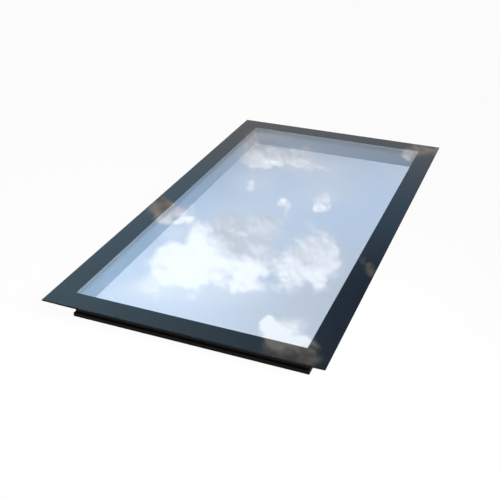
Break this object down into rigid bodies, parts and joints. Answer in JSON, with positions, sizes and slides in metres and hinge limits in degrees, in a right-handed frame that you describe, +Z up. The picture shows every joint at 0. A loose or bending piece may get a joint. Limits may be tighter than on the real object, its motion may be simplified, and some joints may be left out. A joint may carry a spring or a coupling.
{
  "type": "roof skylight",
  "caption": "Fixed flat-glass roof skylight: stepped double glazing with a black border, bonded to a slim mitred frame whose leg drops inside a roof kerb.",
  "frame": {"origin": "centre of the footprint, on the plane of the leg's foot", "axes": "+Z up through the glass, +Y along the long side, +X along the short side"},
  "size_m": [1.2, 2.2, 0.1123],
  "materials": {
    "glass": "polished",
    "border_black": "gloss",
    "frame_black": "satin",
    "liner_white": "satin",
    "spacer_grey": "satin",
    "desiccant_beads": "matte",
    "butyl_black": "satin",
    "silicone_black": "satin",
    "tape_grey": "matte",
    "bead_white": "satin",
    "gasket_black": "matte",
    "break_black": "matte",
    "cleat_metal": "satin",
    "block_plastic": "satin"
  },
  "bodies": {
    "root": {"outer_pane": "glass", "border_layer": "border_black", "spacer_bar": "spacer_grey", "desiccant": "desiccant_beads", "butyl_upper": "butyl_black", "butyl_lower": "butyl_black", "secondary_seal": "silicone_black", "inner_pane": "glass", "glazing_tape": "tape_grey", "structural_silicone": "silicone_black", "inner_tape": "tape_grey", "inner_bead": "bead_white", "location_blocks": "block_plastic", "carrier_right": "frame_black", "carrier_back": "frame_black", "carrier_left": "frame_black", "carrier_front": "frame_black", "gasket_right": "gasket_black", "gasket_back": "gasket_black", "gasket_left": "gasket_black", "gasket_front": "gasket_black", "break_outer_right": "break_black", "break_outer_back": "break_black", "break_outer_left": "break_black", "break_outer_front": "break_black", "break_inner_right": "break_black", "break_inner_back": "break_black", "break_inner_left": "break_black", "break_inner_front": "break_black", "leg_right": "frame_black", "leg_back": "frame_black", "leg_left": "frame_black", "leg_front": "frame_black", "liner_right": "liner_white", "liner_back": "liner_white", "liner_left": "liner_white", "liner_front": "liner_white", "carrier_cleat_front_left": "cleat_metal", "carrier_cleat_front_right": "cleat_metal", "carrier_cleat_back_left": "cleat_metal", "carrier_cleat_back_right": "cleat_metal", "bead_cleat_front_left": "cleat_metal", "bead_cleat_front_right": "cleat_metal", "bead_cleat_back_left": "cleat_metal", "bead_cleat_back_right": "cleat_metal", "head_cleat_front_left": "cleat_metal", "head_cleat_front_right": "cleat_metal", "head_cleat_back_left": "cleat_metal", "head_cleat_back_right": "cleat_metal"}
  },
  "joints": []
}
